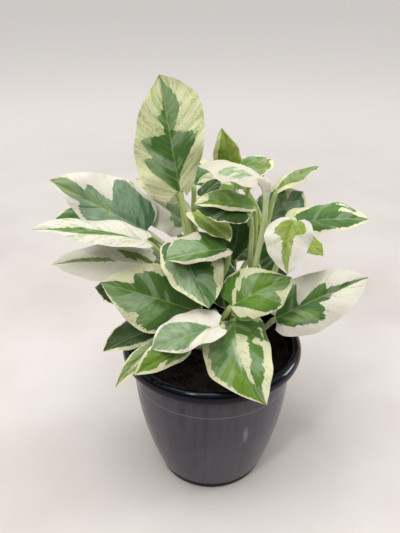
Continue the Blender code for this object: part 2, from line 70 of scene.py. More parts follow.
# One leaf: the stem and the height (0 at the mix, 1 at the top) that carry it, where
# its blade starts, where its point is, the way its upper face looks, its width, the
# rise of its midrib over its length, the fold of its two halves in degrees, the
# sideways bow of its midrib over its length, how far one half is set back, how much
# wider one half is than the other, how far its widest place is moved to the stalk, and
# how much narrower that one half is at the stalk.
Leaf = namedtuple("Leaf", "stem at base tip faces width arch fold bow skew lean low slim",
                  defaults=(0.05, 8, 0, 0, 0, 0, 0))
LEAVES = dict(
    top=Leaf("left", 1, (-22, 8, 220), (-35, 24, 291), (0.1, -0.9, 0.4), 55, arch=0.03, skew=0.06, lean=0.1,
        low=-0.14, slim=0.8),
    top_behind=Leaf("left", 0.97, (-24, 14, 213), (-53, 26, 222), (-0.2, -0.5, 0.8), 21, lean=0.24),
    upper_left=Leaf("left", 0.84, (-45, 8, 191), (-107, 8, 227), (-0.3, -0.6, 0.75), 46, arch=0, fold=14,
        skew=0.05, lean=0.14, low=0.4),
    left_inner=Leaf("left", 0.9, (-20, 26, 189), (-48, 29, 209), (0.4, -0.6, 0.7), 34),
    left=Leaf("left", 0.72, (-43, -12, 193), (-113, -24, 206), (0, -0.2, 1), 29, fold=14, lean=0.1),
    left_low=Leaf("left", 0.6, (-41, -4, 171), (-106, -16, 177), (0, -0.4, 0.9), 34, arch=0.08),
    left_back=Leaf("left", 0.66, (-60, 24, 192), (-112, 26, 191), (0, -0.6, 0.8), 38),
    lower_left=Leaf("left", 0.3, (-11, -18, 144), (-72, -28, 171), (-0.15, -0.75, 0.65), 46),
    lower_left_behind=Leaf("left", 0.4, (-44, -4, 152), (-82, -2, 152), (0, -0.5, 0.8), 30),
    centre=Leaf("left", 0.8, (-24, -8, 190), (-2, -44, 162), (0.2, -0.5, 0.85), 41, lean=-0.18),
    low_left=Leaf("front", 0.25, (-32, -20, 134), (-73, -34, 121), (-0.1, -0.5, 0.85), 26, lean=0.33),
    over_rim_left=Leaf("front", 0.45, (-16, -44, 134), (-50, -54, 117), (0.35, -0.5, 0.8), 20, arch=0.1,
        fold=14, lean=0.2, low=0.3),
    over_rim_back=Leaf("front", 0.35, (-30, -33, 129), (-62, -59, 110), (0.3, -0.5, 0.8), 12, arch=0.06,
        fold=12, bow=0.08),
    front_left=Leaf("front", 0.97, (5, -49, 152), (-37, -60, 142), (0, -0.4, 0.9), 29, arch=0.06, fold=16,
        lean=0.25, low=-0.35),
    centre_small=Leaf("left", 0.5, (9, -18, 191), (-29, -34, 191), (0.1, -0.5, 0.85), 25, lean=0.4,
        low=-0.35),
    centre_upper=Leaf("left", 0.7, (-13, 6, 206), (11, -20, 197), (0.3, -0.3, 0.9), 24, lean=-0.2),
    bright=Leaf("right", 0.8, (25, -8, 216), (-12, -20, 222), (0, -0.5, 0.85), 19, arch=0.08, lean=0.4),
    bright_below=Leaf("right", 0.68, (21, -12, 214), (-12, -13, 217), (0, -0.4, 0.9), 22),
    small_dark=Leaf("back_left", 1, (-8, 14, 214), (5, 26, 222), (0.1, -0.6, 0.8), 12),
    small_upright=Leaf("right", 1, (12, 20, 232), (5, 11, 261), (0.2, -0.9, 0.3), 19, arch=0.03, skew=-0.08,
        lean=-0.1, low=0.4),
    white=Leaf("right", 0.56, (27, -20, 239), (-10, -2, 241), (-0.1, 0.1, 1), 33, arch=0.13, fold=-6,
        lean=0.1),
    upper_right_small=Leaf("right", 0.96, (25, 7, 232), (38, 24, 237), (-0.5, -0.4, 0.8), 18),
    upper_back=Leaf("back_right", 1, (20, 30, 230), (38, 52, 229), (-0.2, -0.3, 0.9), 18),
    blue=Leaf("right", 0.75, (35, 20, 191), (63, 36, 210), (-0.3, -0.7, 0.6), 38),
    right_narrow=Leaf("right", 0.88, (43, 22, 216), (74, 44, 226), (-0.1, 0.1, 1), 21, arch=0.04, fold=12,
        lean=-0.2, low=-0.3),
    right_upper=Leaf("right", 0.62, (53, 6, 199), (106, 14, 199), (-0.1, -0.4, 0.9), 28, arch=0.03, fold=10,
        lean=-0.25, low=-0.35),
    right_hanging=Leaf("right", 0.5, (49, -29, 216), (45, -44, 187), (0.1, -0.75, 0.6), 29, bow=0.08,
        low=0.2),
    right_inner=Leaf("right", 0.44, (56, 2, 192), (72, -13, 184), (0, -0.4, 0.9), 16),
    right_centre=Leaf("front", 0.9, (12, -34, 158), (49, -34, 180), (-0.2, -0.7, 0.7), 36, skew=0.12,
        lean=-0.14),
    front=Leaf("front", 0.62, (15, -28, 143), (35, -69, 107), (0.1, -0.6, 0.8), 46, arch=0.08, bow=0.11,
        lean=0.02, low=0.2),
    right=Leaf("right", 0.2, (43, -21, 141), (105, -6, 165), (-0.3, -0.75, 0.65), 40, fold=10),
    inner_dark=Leaf("back_right", 0.9, (18, 11, 204), (13, 8, 168), (0.35, -0.9, 0.3), 26),
    inner_right=Leaf("right", 0.34, (41, -4, 190), (43, -8, 158), (0.2, -0.9, 0.3), 24),
    inner_centre=Leaf("back_left", 0.5, (0, 18, 164), (10, -3, 136), (0.2, -0.9, 0.4), 28),
    back_1=Leaf("right", 0.28, (46, 16, 136), (100, 34, 130), (0.1, 0.1, 1), 42, arch=0.1),
    back_2=Leaf("back_right", 0.78, (40, 36, 178), (84, 62, 186), (0.2, 0.4, 0.9), 42, arch=0.1),
    back_3=Leaf("back_right", 0.45, (26, 46, 150), (58, 98, 140), (0.1, 0.6, 0.8), 44, arch=0.1),
    back_4=Leaf("back_right", 0.9, (16, 46, 208), (32, 96, 216), (0, 0.5, 0.85), 40, arch=0.1),
    back_5=Leaf("back_left", 0.7, (-2, 52, 176), (6, 108, 168), (0, 0.7, 0.7), 46, arch=0.1),
    back_6=Leaf("back_left", 0.95, (-14, 44, 212), (-30, 90, 226), (0, 0.5, 0.85), 40, arch=0.08),
    back_7=Leaf("back_left", 0.4, (-26, 50, 141), (-48, 98, 125), (-0.2, 0.7, 0.8), 42, arch=0.1),
    back_8=Leaf("back_left", 0.82, (-40, 42, 190), (-84, 72, 196), (-0.2, 0.5, 0.85), 44, arch=0.1),
    back_9=Leaf("back_left", 0.55, (-46, 34, 158), (-98, 54, 154), (-0.1, 0.3, 0.95), 42, arch=0.1),
    back_10=Leaf("back_left", 0.2, (-38, 26, 128), (-86, 40, 116), (-0.2, 0.3, 0.9), 38, arch=0.12),
    back_11=Leaf("back_right", 0.2, (14, 50, 128), (24, 96, 110), (0, 0.5, 0.85), 38, arch=0.12),
    back_12=Leaf("back_right", 0.3, (42, 40, 130), (82, 66, 112), (0.2, 0.4, 0.9), 38, arch=0.12),
    back_13=Leaf("back_right", 0.66, (8, 50, 192), (40, 82, 176), (0.3, 0.6, 0.7), 34, arch=0.1),
    back_14=Leaf("back_left", 0.3, (-8, 54, 142), (-10, 102, 128), (0, 0.6, 0.8), 40, arch=0.1),
)

# The leaf's outline from its stalk to its point, for one half: how far along the
# midrib the side vein leaves it, and how far along and out its end on the margin is,
# as parts of the leaf's length and width.
OUTLINE = (
    (0.05, -0.050, 0.205),
    (0.10, 0.010, 0.360),
    (0.18, 0.190, 0.470),
    (0.33, 0.430, 0.500),
    (0.54, 0.665, 0.405),
    (0.75, 0.865, 0.210),
    (0.92, 0.965, 0.055),
)

# --- sizes of the part (mm)
BASE_RADIUS = 39.5
WALL = 1.6
LIP_DEPTH = 10.0
FLOOR_THICKNESS = 2.0
FLOOR_CORNER = 1.0
FOOT_RECESS = 2.0
FOOT_RING = 4.0
FOOT_PAD_RADIUS = 10.5
FOOT_DRAFT = 1.5
DRAIN_RADIUS = 3.6
DRAIN_CIRCLE = 26.0
DRAIN_HOLES = 6
POT_BODY = (
    (57.6, 100.0), (57.2, 85.0), (56.0, 68.0), (53.4, 50.0),
    (49.6, 33.0), (45.4, 18.0), (41.6, 7.0), (BASE_RADIUS, 3.5), (BASE_RADIUS, 0.0),
)
LIP = (
    (7.6, 6.2), (6.4, 8.8), (4.4, 10.0), (2.2, 9.4), (0.6, 7.4), (0.0, 4.8), (0.4, 2.2),
    (1.4, 0.5), (2.6, 0.0), (3.6, 1.0), (4.2, 4.0), (5.8, 4.9), (7.0, 3.4),
)
MOULD_RING = 84.0          # the height of a thin raised ring round the pot's body
SOIL_TOP = 98.0
SOIL_CROWN = 1.5
SOIL_GAP = 0.3
STEM_DEPTH = 13.0
STEM_RADIUS = 2.6
STEM_COLLAR = 0.5
STEM_POINTS = 9
SEAT_GAP = 0.3
STALK_RADIUS_STEM = 2.1
STALK_RADIUS_BLADE = 1.7
STALK_RADIUS_LEAST = 0.4
STALK_OVER_WIDTH = 0.045
STALK_STRAIGHT = 5.0
STALK_LEAVING = 0.3
STALK_ARRIVAL = 0.18
STALK_BEHIND = 3.0
BLADE_CURL = 0.5
KEEL = 1.9
KEEL_TAPER = 0.6
VEIN_SWEEP = 1.3

# --- finer shapes (mm)
BLADE_RINGS = 72           # across the midrib, from the stalk to the point
RING_CROWDING = 1.25       # above 1 the rings stand closer near the stalk
OUTLINE_POINTS = 400
HALF_STEPS = 12            # from the midrib to a margin
RING_ANGLES = math.pi - 2 * math.pi * np.arange(4 * HALF_STEPS) / (4 * HALF_STEPS)
STALK_RINGS = 22
STALK_INTO_STEM = 1.2
STALK_KNEE = 0.14          # how much thicker it is under the blade, over its radius
STALK_FLARE = 0.45         # how much thicker at the stem
STALK_CHANNEL = 0.16       # how deep the channel along its upper side is
BLADE_THICKNESS = 0.5
MARGIN_THICKNESS = 0.22
RIB_GROOVE = 0.3           # how deep the midrib lies in the upper face
RIB_WIDTH = 1.1
VEIN_PAIRS = 8
VEIN_LEAN = 0.25           # how far towards the point a side vein runs, over the length
VEIN_RELIEF = 0.3          # how far the face swells between its side veins
CUP = 1.3                  # how far each half arches up beside the midrib
SOFT_BENDS = 0.55          # how far the face goes up and down in broad folds
MARGIN_WAVE = 1.6          # how far the margin goes up and down
MARGIN_WANDER = 0.03       # how far it goes in and out, over the leaf's width
FULL_WIDTH = 46            # the width of a leaf whose waves and folds have their full size
CALM = 0.2                 # the share of its folds and waves that a leaf close to another has
# Such leaves, and how far their margins are raised.
CALM_LEAVES = {"back_1": 0, "back_7": 0, "back_8": 0, "back_12": 0, "back_14": 1.5}
SHEATH_WIDTH = 4.2         # how far a sheath stands out from the stalk
SHEATH_MIDDLE = 0.4        # where it is widest, in parts of its length below the blade
SHEATH_SPREAD = 0.36
SHEATH_FADE = 6.0          # how many mm its pale colour takes to turn green
LEAF_SHARP = math.radians(60)


def smooth_curve(points, count):
    """Points of a smooth curve through the given ones, evenly by their order."""
    knots = np.array(points, float)
    padded = np.vstack([2 * knots[0] - knots[1], knots, 2 * knots[-1] - knots[-2]])
    place = np.linspace(0, len(knots) - 1, count)
    i = np.minimum(place.astype(int), len(knots) - 2)
    t = (place - i)[:, None]
    a, b, c, d = (padded[i + k] for k in range(4))
    return 0.5 * (2 * b + (c - a) * t + (2 * a - 5 * b + 4 * c - d) * t * t
                  + (3 * b - a - 3 * c + d) * t ** 3)


# --- materials
def srgb(red, green, blue):
    """A colour from its everyday 0 to 255 values, as the shader wants it."""
    parts = [value / 255 for value in (red, green, blue)]
    return tuple(p / 12.92 if p <= 0.04045 else ((p + 0.055) / 1.055) ** 2.4 for p in parts) + (1.0,)


class Nodes:
    """A tree of shader nodes, put together in as few words as possible."""

    def __init__(self, tree):
        self.tree = tree

    def put(self, socket, value):
        if isinstance(value, bpy.types.NodeSocket):
            self.tree.links.new(value, socket)
        else:
            socket.default_value = value

    def new(self, kind, inputs, out=0, **settings):
        made = self.tree.nodes.new("ShaderNode" + kind)
        for key, value in settings.items():
            setattr(made, key, value)
        for key, value in inputs.items():
            self.put(made.inputs[key], value)
        return made.outputs[out]

    def math(self, operation, *values):
        return self.new("Math", dict(enumerate(values)), operation=operation)

    def add(self, *values):
        total = values[0]
        for value in values[1:]:
            total = self.math("ADD", total, value)
        return total

    def times(self, a, b):
        return self.math("MULTIPLY", a, b)

    def square(self, value):
        return self.times(value, value)

    def swing(self, noise, size):
        """A noise round 0.5, turned into one of this size round 0."""
        return self.times(self.add(noise, -0.5), size)

    def step(self, value, low, high):
        """0 below low, 1 above high and smooth between; high under low turns it round."""
        return self.new("MapRange", {"Value": value, "From Min": low, "From Max": high},
                        interpolation_type="SMOOTHSTEP")

    def ease(self, value, low, high, start=0.0, end=1.0):
        """value from low to high, turned into start to end."""
        return self.new("MapRange", {"Value": value, "From Min": low, "From Max": high,
                                     "To Min": start, "To Max": end})

    def mix(self, share, first, second):
        return self.new("Mix", {0: share, 6: first, 7: second}, out=2, data_type="RGBA")

    def layers(self, colour, *rows):
        """Colours laid over the first one, each where its value is 1, with its share."""
        for value, share, over in rows:
            colour = self.mix(self.times(value, share), colour, srgb(*over))
        return colour

    def noise(self, where, scale, detail=2.0, roughness=0.5):
        return self.new("TexNoise", {"Vector": where, "Scale": scale, "Detail": detail,
                                     "Roughness": roughness})

    def vector(self, x, y, z):
        return self.new("CombineXYZ", {"X": x, "Y": y, "Z": z})

    def squeezed(self, parts, across, up):
        """A place, scaled by across in x and y and by up in z."""
        x, y, z = parts
        return self.vector(self.times(x, across), self.times(y, across), self.times(z, up))

    def parts(self, vector):
        return tuple(self.new("SeparateXYZ", {0: vector}).node.outputs)

    def read(self, name, out="Vector"):
        return self.new("Attribute", {}, out, attribute_name=name)

    def place(self, kind="Object"):
        return self.new("TexCoord", {}, kind)


class Shader(Nodes):
    """The nodes of a new material."""

    def __init__(self, name):
        self.material = bpy.data.materials.new(name)
        self.material.use_nodes = True
        super().__init__(self.material.node_tree)
        self.surface = self.tree.nodes["Principled BSDF"]

    def bump(self, height, distance, strength=1.0):
        self.put(self.surface.inputs["Normal"],
                 self.new("Bump", {"Height": height, "Distance": distance, "Strength": strength}))

    def finish(self, colour, roughness, **constants):
        self.put(self.surface.inputs["Base Color"], colour)
        self.put(self.surface.inputs["Roughness"], roughness)
        for key, value in constants.items():
            self.surface.inputs[key.replace("_", " ")].default_value = value
        return self.material


def leaf_material():
    """Green fields over cream, torn along the side veins, under a thin waxy skin.

    The mesh says where a spot is: "vein" is how far along the midrib its side vein
    starts and how far from the midrib it is, in mm, and the leaf's own number; "paint"
    is how deep it is in the green, its part of the way to the margin, and whether it is
    on the underside; "habit" is the leaf's speckle, how grey (or below 0, dark) its green
    is, and dryness.
    """
    s = Shader("leaf_variegated")
    along, out, seed = s.parts(s.read("vein"))
    depth, part, under = s.parts(s.read("paint"))
    speckle, pale, dry = s.parts(s.read("habit"))
    green = s.read("green", "Color")
    cream = s.read("cream", "Color")
    far = s.math("ABSOLUTE", out)
    half = s.add(s.times(seed, 9.7), s.times(s.math("SIGN", out), 2.3))

    def stretched(outwards, shift=0.0):
        return s.vector(along, s.times(far, outwards), s.add(half, shift))

    streak = stretched(0.22)
    grain = stretched(0.6)

    # The torn edge of the green.
    tear = s.noise(streak, 0.34)
    teeth = s.noise(streak, 1.1)
    nicks = s.noise(grain, 2.6)
    edge = s.add(depth, s.swing(tear, 0.26), s.swing(teeth, 0.14), s.swing(nicks, 0.05))
    is_green = s.step(edge, -0.014, 0.014)

    # Grey green beside the deep green, which where the tone raises it is partly painted
    # sheen, and the deep green's own clouds.  Where the tone is below 0 the green is darkened,
    # partly as painted shade.
    sector = s.noise(stretched(0.3, 31.0), 0.12, 1.0)
    shade = s.noise(grain, 0.5, 3.0)
    mottle = s.noise(grain, 5.0, 3.0, 0.7)
    dapple = s.noise(stretched(0.35, 17.0), 0.9, 3.0, 0.6)
    sector_edge = s.add(s.times(pale, 0.4), 0.32, s.swing(shade, 0.12))
    is_grey = s.step(s.math("SUBTRACT", sector_edge, sector), -0.03, 0.03)
    greens = s.layers(
        green,
        (is_grey, 0.3, (182, 196, 172)),
        (s.ease(shade, 0.35, 0.65), 0.36, (22, 54, 14)),
        (s.ease(pale, -0.1, -1.0), 0.8, (22, 52, 10)),
        (s.ease(mottle, 0.42, 0.62), 0.12, (160, 186, 108)),
        (s.ease(mottle, 0.5, 0.36), 0.15, (24, 56, 12)),
        (s.ease(dapple, 0.55, 0.75), 0.18, (150, 178, 96)))

    # Fine green flecks on the cream, in clouds and along the edge of the green.
    fleck = s.noise(grain, 1.5, 4.0, 0.7)
    cloud = s.noise(streak, 0.3, 1.0)
    near_green = s.step(edge, -0.3, 0.02)
    wanted = s.add(s.times(speckle, 0.28), s.swing(cloud, 0.6), s.times(near_green, 0.06), 0.27)
    is_fleck = s.step(s.math("SUBTRACT", wanted, fleck), -0.02, 0.06)
    creams = s.layers(
        cream,
        (s.ease(cloud, 0.35, 0.65), 0.175, (186, 194, 132)),
        (s.ease(shade, 0.5, 0.7), 0.12, (196, 180, 150)))
    creams = s.mix(s.times(is_fleck, 0.6), creams, s.mix(0.6, green, srgb(148, 168, 86)))
    blade = s.mix(is_green, creams, greens)

    # Side veins, the midrib, the hairline of the margin and a dry point.
    ripple = s.math("COSINE", s.times(s.add(along, s.times(s.noise(grain, 0.15, 1.0), 4.0)), 1.5))
    is_vein = s.step(ripple, 0.8, 1.0)
    is_point = s.step(s.add(dry, s.swing(shade, 0.3)), 0.85, 1.0)
    blade = s.layers(
        blade,
        (is_vein, 0.04, (196, 208, 150)),
        (s.step(far, 0.7, 0.25), 0.2, (190, 202, 134)),
        (s.step(part, 0.96, 0.99), 0.2, (222, 220, 184)),
        (is_point, 1.0, (112, 82, 48)))

    # The stalk, and the paler underside.
    thread = s.noise(s.vector(s.times(along, 0.12), s.times(out, 1.4), half), 1.0)
    fresh = s.mix(0.7, green, srgb(182, 200, 124))
    stalk = s.mix(s.ease(thread, 0.4, 0.7, 0.0, 0.45), fresh, cream)
    blade = s.mix(s.step(part, -0.2, -0.6), blade, stalk)
    colour = s.layers(blade, (under, 0.35, (196, 206, 164)))

    skin = s.noise(grain, 3.2)
    s.bump(s.add(s.times(is_vein, -0.5), s.times(skin, 0.3), s.times(shade, 0.5)), 0.00022, 0.6)
    gloss = s.add(s.ease(shade, 0.3, 0.7, 0.33, 0.44), s.times(under, 0.22))
    return s.finish(colour, gloss, Specular_IOR_Level=0.22)


CORK_HEIGHT = (0.118, 0.100)   # m, between which a stem turns from green to cork


def stem_material():
    """A green stem with fine lengthwise streaks, brown and corky where it leaves the mix."""
    s = Shader("stem_green")
    place = s.place()
    parts = s.parts(place)
    streak = s.noise(s.squeezed(parts, 900.0, 60.0), 1.0, 3.0)
    cork = s.noise(place, 420.0, 4.0, 0.6)
    green = s.layers(srgb(104, 128, 58), (s.ease(streak, 0.35, 0.65), 1.0, (158, 172, 96)))
    brown = s.layers(srgb(74, 56, 34), (s.ease(cork, 0.4, 0.65), 1.0, (122, 104, 66)))
    low = s.step(s.add(parts[2], s.swing(cork, 0.03)), *CORK_HEIGHT)
    spot = s.step(cork, 0.66, 0.7)
    colour = s.mix(low, s.mix(s.times(spot, 0.5), green, brown), brown)
    s.bump(s.add(streak, cork), 0.0003, 0.5)
    return s.finish(colour, s.ease(cork, 0.3, 0.7, 0.42, 0.62))


# Places on the pot, in metres: heights between which the body's look turns into the
# rim's and the foot's, where the foot's darker band is painted shade, and a painted
# highlight, a pale upright spot, with how narrow it is along each axis.
RIM_EDGE = (0.0992, 0.1004)
FOOT_SHADE_EDGE = (0.0040, 0.0032)
PAINTED_HIGHLIGHT = (0.0240, -0.0450, 0.0635)
PAINTED_HIGHLIGHT_NARROW = (2.4, 0.4, 0.6)


def pot_material():
    """Charcoal moulded plastic: a satin body with soft upright streaks, a glossy near-black rim, a painted
    highlight spot, a moulded ring painted lighter as a highlight and a foot painted darker as shade.
    """
    s = Shader("pot_plastic")
    place = s.place()
    x, y, z = s.parts(place)
    turn = s.math("ARCTAN2", y, x)
    round_pot = (s.math("COSINE", turn), s.math("SINE", turn), z)
    streak = s.noise(s.squeezed(round_pot, 11.0, 9.0), 1.0, 3.0, 0.6)
    brush = s.noise(s.squeezed((x, y, z), 600.0, 50.0), 1.0)
    broad = s.noise(s.squeezed((x, y, z), 18.0, 5.0), 1.0)
    stain = s.noise(place, 38.0, 4.0, 0.6)
    dust = s.noise(place, 900.0, 2.0, 0.6)
    off_highlight = [s.square(s.times(s.add(axis, -middle), narrow))
                 for axis, middle, narrow in zip((x, y, z), PAINTED_HIGHLIGHT, PAINTED_HIGHLIGHT_NARROW)]
    painted_highlight = s.add(s.math("SQRT", s.add(*off_highlight)), s.swing(brush, 0.003))
    off_ring = s.math("ABSOLUTE", s.add(z, -MOULD_RING * MM))
    body = s.layers(
        srgb(56, 52, 62),
        (s.ease(streak, 0.32, 0.68), 1.0, (78, 73, 84)),
        (s.ease(broad, 0.42, 0.62), 0.5, (86, 82, 89)),
        (s.ease(stain, 0.4, 0.7), 0.5, (75, 71, 79)),
        (s.ease(brush, 0.45, 0.7), 0.08, (110, 106, 112)),
        # A painted highlight: a pale upright spot on the body's front right.
        (s.ease(painted_highlight, 0.0058, 0.0004), 0.55, (172, 170, 176)),
        # The moulded ring painted lighter: a painted highlight along its ridge.
        (s.step(off_ring, 0.0007, 0.0002), 0.5, (126, 122, 126)),
        # The foot below the body's step painted darker: painted shade.
        (s.step(z, *FOOT_SHADE_EDGE), 1.0, (30, 31, 35)))
    rim = s.step(z, *RIM_EDGE)
    dark = s.layers(srgb(2, 5, 12), (s.ease(stain, 0.4, 0.7), 0.5, (9, 14, 25)))
    colour = s.layers(s.mix(rim, body, dark), (s.step(dust, 0.74, 0.78), 0.5, (196, 192, 186)))
    rough = s.add(s.ease(rim, 0.0, 1.0, 0.17, 0.07), s.ease(stain, 0.35, 0.7, -0.03, 0.09),
                  s.ease(streak, 0.35, 0.65, -0.03, 0.04))
    s.bump(s.add(s.times(streak, 0.6), s.times(brush, 0.1), s.times(stain, 0.5)), 0.0002, 0.25)
    return s.finish(colour, rough, Specular_IOR_Level=0.22)


def soil_material():
    """Moist black-brown mix with redder bits of bark and pale fibre."""
    s = Shader("potting_mix")
    place = s.place()
    bits = s.noise(place, 420.0, 4.0, 0.7)
    lumps = s.noise(place, 150.0, 3.0, 0.6)
    dots = s.noise(place, 1300.0, 2.0, 0.6)
    colour = s.layers(
        srgb(9, 5, 6),
        (s.ease(lumps, 0.35, 0.65), 1.0, (24, 14, 13)),
        (s.step(bits, 0.58, 0.64), 1.0, (74, 34, 26)),
        (s.step(dots, 0.7, 0.74), 1.0, (104, 76, 62)))
    s.bump(s.add(bits, s.times(dots, 0.6)), 0.0011, 0.9)
    return s.finish(colour, s.ease(bits, 0.3, 0.7, 0.55, 0.9), Specular_IOR_Level=0.2)


# --- mesh helpers
def add_object(name, data):
    made = bpy.data.objects.new(name, data)
    bpy.context.scene.collection.objects.link(made)
    return made


def mesh_of(name, shape):
    """A mesh from a bmesh, which is freed."""
    data = bpy.data.meshes.new(name)
    shape.to_mesh(data)
    shape.free()
    return data


def add_piece(name, points, faces, material, node):
    """A closed mesh, given in mm, in the place of its CAD node."""
    data = bpy.data.meshes.new(name)
    data.from_pydata([tuple(p) for p in np.asarray(points, float) * MM], [], faces)
    data.materials.append(material)
    data.shade_smooth()
    piece = add_object(name, data)
    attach(piece, "root")
    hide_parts(node)
    return piece


def even_angles(count):
    return 2 * math.pi * np.arange(count) / count


def level_ring(angles, radius, height):
    """Points round Z at a radius and a height."""
    return np.column_stack([radius * np.cos(angles), radius * np.sin(angles),
                            np.full(len(angles), height)])


def ring_round(centre, angles, radii, side, up):
    """Points round a centre, from the side direction towards the up direction."""
    return centre + np.outer(np.cos(angles) * radii, side) + np.outer(np.sin(angles) * radii, up)


def loft(rings, first, last):
    """Quads between rings of equal length, closed by a fan to a point at each end."""
    count = len(rings[0])
    points = np.vstack([*rings, [first], [last]])
    faces = []
    for row in range(len(rings) - 1):
        a, b = row * count, row * count + count
        for i in range(count):
            j = (i + 1) % count
            faces.append((a + i, a + j, b + j, b + i))
    start, end, top = len(points) - 2, len(points) - 1, (len(rings) - 1) * count
    faces += [((i + 1) % count, i, start) for i in range(count)]
    faces += [(top + i, top + (i + 1) % count, end) for i in range(count)]
    return points, faces


# --- leaves
def unit(vector):
    return vector / np.linalg.norm(vector)


def leaf_axes(leaf):
    """A leaf's length and the directions along it, across it and out of its face."""
    chord = np.subtract(leaf.tip, leaf.base).astype(float)
    length = np.linalg.norm(chord)
    along = chord / length
    up = np.array(leaf.faces, float)
    up = unit(up - along * up.dot(along))
    return length, along, up, np.cross(along, up)


def blade_end_radius(leaf):
    return min(STALK_RADIUS_BLADE, STALK_RADIUS_LEAST + STALK_OVER_WIDTH * leaf.width)


def outline_of(leaf):
    """Where the side veins leave the midrib, and where they end, along and out."""
    start = blade_end_radius(leaf) / leaf.width
    shoulder = (0.018, -0.036, (start + OUTLINE[0][2]) / 2 + 0.01)
    fine = smooth_curve([(0.0, 0.0, start), shoulder, *OUTLINE, (1.0, 1.0, 0.0)], OUTLINE_POINTS)
    fine[:, 0] = np.maximum.accumulate(fine[:, 0])
    ribs = np.linspace(0, 1, BLADE_RINGS + 1)[:-1] ** RING_CROWDING
    margins = np.interp(ribs, fine[:, 0], fine[:, 1])
    outs = np.maximum(np.interp(ribs, fine[:, 0], fine[:, 2]), 0.002)
    ribs = ribs - leaf.low * ribs * (1 - ribs)
    margins = margins - leaf.low * margins * (1 - margins)
    return ribs, margins, outs


def blade_rings(leaf, rng, calm, lift):
    """The blade's rings, upper face and underside, and what the material needs there.

    calm is the share of its folds and waves that the blade has, and lift how far its
    margins are raised.
    """
    length, along, up, across = leaf_axes(leaf)
    base = np.array(leaf.base, float)
    fold = math.radians(leaf.fold)
    ribs, margins, outs = outline_of(leaf)
    over = np.linspace(-1, 1, 2 * HALF_STEPS + 1)
    part = np.concatenate([over, over[-2:0:-1]])
    below = np.arange(len(part)) >= len(over)
    rib, part = np.meshgrid(ribs, part, indexing="ij")
    half = np.where(part > 0, 1, -1)
    off = np.abs(part)
    end = margins[:, None] + half * leaf.skew * 4 * rib * (1 - rib)
    u = rib + (end - rib) * off ** VEIN_SWEEP
    v = part * outs[:, None] * leaf.width * (1 + half * leaf.lean)
    v *= 1 - np.where(half > 0, leaf.slim, 0) * (1 - rib) ** 3 * np.minimum(1, rib / OUTLINE[0][0])
    phases = rng.uniform(0, 2 * math.pi, 6)
    wander = np.sin(u * 11 + phases[4]) + 0.5 * np.sin(u * 23 + half * 2 + phases[5])
    v *= 1 + MARGIN_WANDER * wander * off ** 2

    bulge = 4 * u * (1 - u)
    far = np.abs(v)
    rise = leaf.arch * bulge * length + far * math.sin(fold) - far * far / leaf.width * BLADE_CURL
    scale = leaf.width / FULL_WIDTH
    cup = 4 * off * (1 - off) - 0.5 * part ** 2
    rise += calm * CUP * scale * cup * np.minimum(1, 5 * u.clip(0)) * (1 - u.clip(0, 1) ** 3)
    bends = rng.uniform(0, 2 * math.pi, 3)
    soft = (np.sin(7.5 * u + 2.4 * part + bends[0]) + 0.7 * np.sin(12 * u - 3.1 * part + bends[1])
            + 0.4 * np.sin(19 * u + 5 * part + bends[2]))
    rise += calm * SOFT_BENDS * scale * soft * off ** 0.7 * np.minimum(1, 8 * u.clip(0))
    slow, quick = (np.where(half > 0, phases[i], phases[i + 2]) for i in (0, 1))
    waves = np.sin(u * 9.5 + slow) + 0.6 * np.sin(u * 17 + quick)
    waves = calm * MARGIN_WAVE * scale * waves + lift
    rise += waves * off ** 2.2 * np.minimum(1, 6 * u * (1 - u).clip(0))
    swell = np.abs(np.sin(math.pi * VEIN_PAIRS * rib)) ** 0.8 * (1 - (2 * off - 1) ** 4)
    rise += VEIN_RELIEF * scale * swell * (1 - rib)
    thickness = BLADE_THICKNESS + (MARGIN_THICKNESS - BLADE_THICKNESS) * off ** 2
    radius = blade_end_radius(leaf)
    keel = KEEL * (1 - KEEL_TAPER * rib) + (2 * radius - KEEL) * np.exp(-rib / 0.04)
    keel *= np.clip((1 - rib) * 6, 0, 1) * radius / STALK_RADIUS_BLADE
    keel = np.exp(-(v / (0.9 * radius)) ** 2) * np.maximum(keel - thickness, 0)
    groove = RIB_GROOVE * np.exp(-(v / RIB_WIDTH) ** 2) * np.clip(rib * 12, 0, 1)
    margin_row = off > 0.999
    rise -= np.where(below, thickness + keel, groove * (1 - margin_row))
    side = v * math.cos(fold) + leaf.bow * bulge * length
    points = (base + along * (u * length)[..., None] + across * side[..., None] + up * rise[..., None])
    facts = dict(vein=u - VEIN_LEAN * off, out=v, part=part, u=u,
                 under=np.broadcast_to(below, part.shape).astype(float))
    tip = base + along * length - up * 0.1
    return points, tip, facts


def stem_route(points):
    """A stem's centre line, from its foot in the mix to its top."""
    above = smooth_curve(points, STEM_POINTS)
    way = unit(above[1] - above[0])
    return np.vstack([above[0] - way * STEM_DEPTH, above[0] + way * STEM_COLLAR, above[1:]])


def stem_place(route, at):
    """The point and direction on a stem at a part of its height above the mix."""
    place = at * (len(route) - 2)
    i = min(int(place), len(route) - 3)
    a, b = route[i + 1], route[i + 2]
    return a + (b - a) * (place - i), unit(b - a)


def stalk_line(leaf, route):
    """The leaf stalk's centre line from the stem to the blade, as a cubic curve's four points."""
    _, along, up, _ = leaf_axes(leaf)
    place, way = stem_place(route, leaf.at)
    base = np.array(leaf.base, float) - up * blade_end_radius(leaf)
    if leaf.at == 1:
        out = way
        start = place + way * SEAT_GAP
    else:
        out = base - place
        out = unit(out - way * out.dot(way))
        start = place + out * (STEM_RADIUS + SEAT_GAP)
    reach = base - start
    size = np.linalg.norm(reach)
    hang = max(0.0, -along.dot(reach / size))
    arrive = unit(along + up * hang * STALK_BEHIND)
    first = start + out * max(STALK_STRAIGHT, STALK_LEAVING * size)
    last = base - arrive * STALK_ARRIVAL * size
    return start, first, last, base


